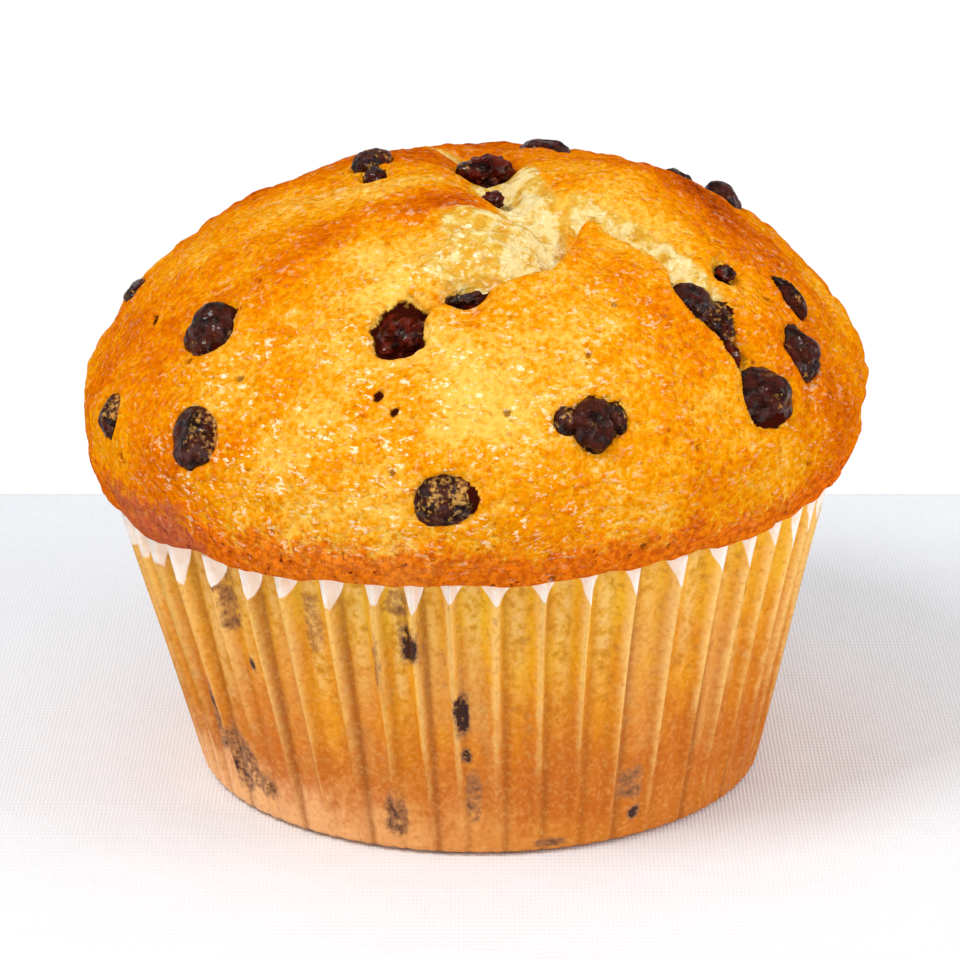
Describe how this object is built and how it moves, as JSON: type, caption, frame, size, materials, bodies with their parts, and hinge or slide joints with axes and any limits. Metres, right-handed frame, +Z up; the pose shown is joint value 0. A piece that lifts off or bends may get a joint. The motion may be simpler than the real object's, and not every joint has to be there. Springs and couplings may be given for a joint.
{
  "type": "muffin",
  "caption": "Domed golden muffin with dark chocolate chips and a cracked top, baked in a fluted tapered paper case.",
  "frame": {"origin": "middle of the case's flat underside, on the surface the muffin stands on", "axes": "+Z up through the crown; -Y towards the front, the side with the widest open crack; +X to the right seen from the front"},
  "size_m": [0.0795, 0.0782, 0.0628],
  "materials": {
    "sponge": "baked crumb: golden yellow crust browned to orange on the mounds and round the lip, finely grained, with a thin sugary shine; pale cream crumb in the cracks",
    "paper": "thin white baking paper gone translucent with fat, so that the golden crumb shows through; pale along the crests and white at the free rim, satin",
    "chocolate": "very dark brown chocolate, softly shiny where melted, dusty with batter in places"
  },
  "bodies": {
    "root": {"chip_back_1_1": "chocolate", "chip_back_1_2": "chocolate", "chip_back_1_3": "chocolate", "chip_back_1_4": "chocolate", "chip_back_2_1": "chocolate", "chip_back_2_2": "chocolate", "chip_back_2_3": "chocolate", "chip_back_2_4": "chocolate", "chip_back_3_1": "chocolate", "chip_back_3_2": "chocolate", "chip_back_3_3": "chocolate", "chip_crack_end": "chocolate", "chip_crack_right": "chocolate", "chip_front_left": "chocolate", "chip_front_low": "chocolate", "chip_front_mid": "chocolate", "chip_front_mid_left": "chocolate", "chip_front_mid_right": "chocolate", "chip_in_crack": "chocolate", "chip_left_edge": "chocolate", "chip_left_upper": "chocolate", "chip_lower_left": "chocolate", "chip_melted": "chocolate", "chip_pair_far": "chocolate", "chip_pair_near": "chocolate", "chip_ridge_far": "chocolate", "chip_ridge_right": "chocolate", "chip_right_lower": "chocolate", "chip_right_spot": "chocolate", "chip_right_upper": "chocolate", "chip_round": "chocolate", "chip_top_crack": "chocolate", "chip_top_left": "chocolate", "chip_top_left_near": "chocolate", "chip_top_right": "chocolate", "paper_case": "paper", "side_chip_foot_left": "chocolate", "side_chip_foot_right": "chocolate", "side_chip_middle": "chocolate", "side_chip_upper": "chocolate", "sponge": "sponge"}
  },
  "joints": []
}
